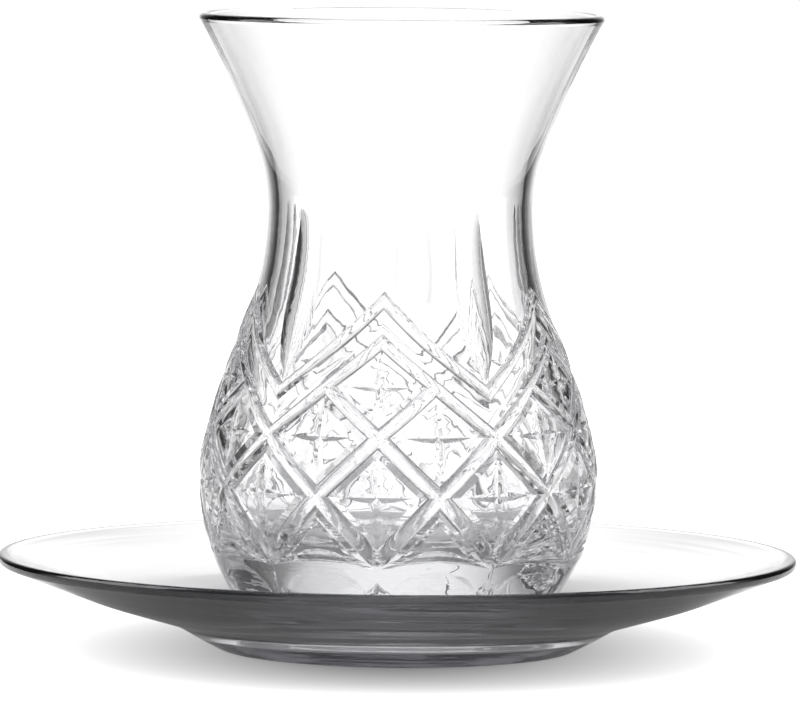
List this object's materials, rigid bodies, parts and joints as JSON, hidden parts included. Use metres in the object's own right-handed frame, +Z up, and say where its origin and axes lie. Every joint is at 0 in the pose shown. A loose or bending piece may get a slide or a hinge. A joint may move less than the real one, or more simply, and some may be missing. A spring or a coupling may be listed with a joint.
{
  "type": "tea glass with saucer",
  "caption": "Waisted clear tea glass with a cut diamond lattice on its bulb, standing in the shallow well of a clear round glass saucer.",
  "frame": {"origin": "centre of the saucer's foot ring, on the table", "axes": "+Z up along the axis of glass and saucer; -Y is the front"},
  "size_m": [0.1226, 0.1226, 0.0975],
  "materials": {
    "glass_body": "clear pressed soda glass, fire-polished",
    "saucer_glass": "clear pressed soda glass, fire-polished"
  },
  "bodies": {
    "root": {"tea_glass": "glass_body", "saucer": "saucer_glass"}
  },
  "joints": []
}
